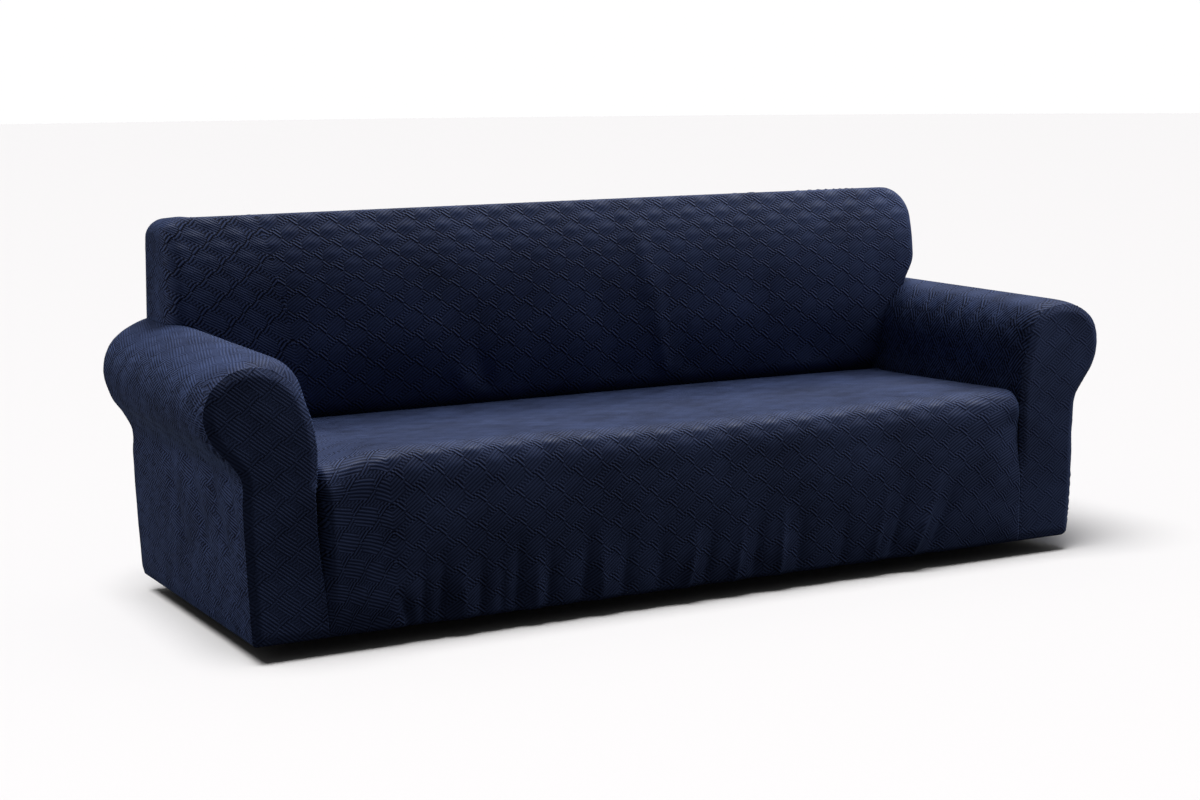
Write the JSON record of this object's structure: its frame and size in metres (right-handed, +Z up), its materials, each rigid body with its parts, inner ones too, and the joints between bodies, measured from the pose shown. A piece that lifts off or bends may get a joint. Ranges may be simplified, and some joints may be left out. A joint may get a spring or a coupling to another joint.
{
  "type": "sofa slipcover",
  "caption": "Fitted stretch jacquard slipcover for a rolled-arm sofa: seat and skirt, back, arm and arm front panels, hollow and open underneath.",
  "frame": {"origin": "on the underside of the top of the back, midway along the cover and midway between the back's face and the rear, where the sofa's back holds the cover up", "axes": "+X along the cover towards its right arm as seen from the front, +Y towards the rear, +Z up"},
  "size_m": [2.2984, 0.7925, 0.829],
  "materials": {
    "jacquard": "matt navy stretch jacquard with a raised basket weave and a soft sheen"
  },
  "bodies": {
    "root": {"seat_panel": "jacquard", "inside_back_panel": "jacquard", "outside_back_panel": "jacquard", "arm_panel_left": "jacquard", "arm_panel_right": "jacquard", "arm_front_left": "jacquard", "arm_front_right": "jacquard"}
  },
  "joints": []
}
